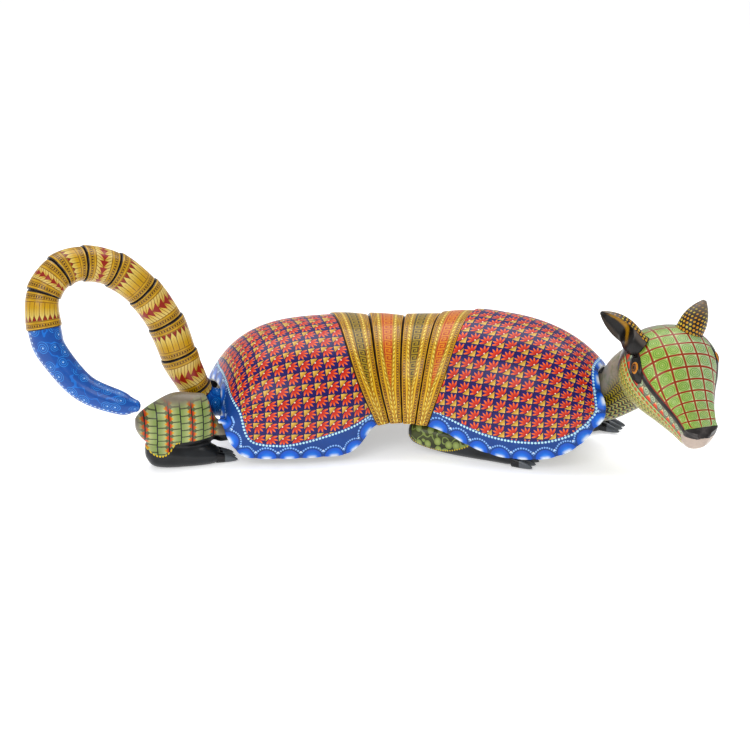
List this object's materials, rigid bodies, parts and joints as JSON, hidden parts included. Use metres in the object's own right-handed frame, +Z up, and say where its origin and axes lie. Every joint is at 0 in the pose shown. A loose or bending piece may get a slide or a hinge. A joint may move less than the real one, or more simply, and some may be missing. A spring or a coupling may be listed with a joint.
{
  "type": "carved wooden armadillo figure",
  "caption": "Carved and painted wooden armadillo walking with its body bent and head turned aside; banded armour over a wooden core, with push-fit tail and ears.",
  "frame": {"origin": "centre of the figure's bounding box, on the plane its feet stand on", "axes": "+X along the length towards the head end, +Y to the side the far forefoot steps out on, +Z up from the feet"},
  "size_m": [0.5206, 0.2171, 0.1725],
  "materials": {
    "shield_paint": "hand-painted acrylic under satin varnish",
    "band_paint_olive": "hand-painted acrylic under satin varnish",
    "band_paint_orange": "hand-painted acrylic under satin varnish",
    "belly_paint": "hand-painted acrylic under satin varnish",
    "neck_paint": "hand-painted acrylic under satin varnish",
    "head_paint": "hand-painted acrylic under satin varnish",
    "ear_paint": "hand-painted acrylic under satin varnish",
    "tail_blue_paint": "hand-painted acrylic under satin varnish",
    "tail_gold_paint": "hand-painted acrylic under satin varnish",
    "hind_leg_paint": "hand-painted acrylic under satin varnish",
    "fore_leg_paint": "hand-painted acrylic under satin varnish",
    "bare_wood": "bare sanded wood"
  },
  "bodies": {
    "figure": {"body_core": "belly_paint", "rear_shield": "shield_paint", "band_1": "band_paint_olive", "band_2": "band_paint_orange", "band_3": "band_paint_olive", "band_4": "band_paint_orange", "front_shield": "shield_paint", "neck": "neck_paint", "neck_dowel": "bare_wood", "head": "head_paint", "head_dowel": "bare_wood", "tail_stub": "tail_blue_paint", "hind_leg_left": "hind_leg_paint", "hind_leg_right": "hind_leg_paint", "fore_leg_left": "fore_leg_paint", "fore_leg_right": "fore_leg_paint", "hind_dowel_left": "bare_wood", "hind_dowel_right": "bare_wood", "fore_dowel_left": "bare_wood", "fore_dowel_right": "bare_wood"},
    "tail": {"tail_peg": "bare_wood", "tail_ring_1": "tail_gold_paint", "tail_ring_2": "tail_gold_paint", "tail_ring_3": "tail_gold_paint", "tail_ring_4": "tail_gold_paint", "tail_ring_5": "tail_gold_paint", "tail_ring_6": "tail_gold_paint", "tail_ring_7": "tail_gold_paint", "tail_ring_8": "tail_gold_paint", "tail_ring_9": "tail_gold_paint", "tail_tip": "tail_blue_paint"},
    "ear_left_body": {"ear_left": "ear_paint", "ear_peg_left": "bare_wood"},
    "ear_right_body": {"ear_right": "ear_paint", "ear_peg_right": "bare_wood"}
  },
  "joints": [
    {"name": "tail_pull", "type": "slide", "parent": "figure", "child": "tail", "axis": [-0.5066, -0.2085, 0.8366], "range_m": [0, 0.03]},
    {"name": "ear_left_pull", "type": "slide", "parent": "figure", "child": "ear_left_body", "axis": [0.4387, 0.1621, 0.8839], "range_m": [0, 0.014]},
    {"name": "ear_right_pull", "type": "slide", "parent": "figure", "child": "ear_right_body", "axis": [-0.7509, 0.1359, 0.6462], "range_m": [0, 0.014]}
  ]
}
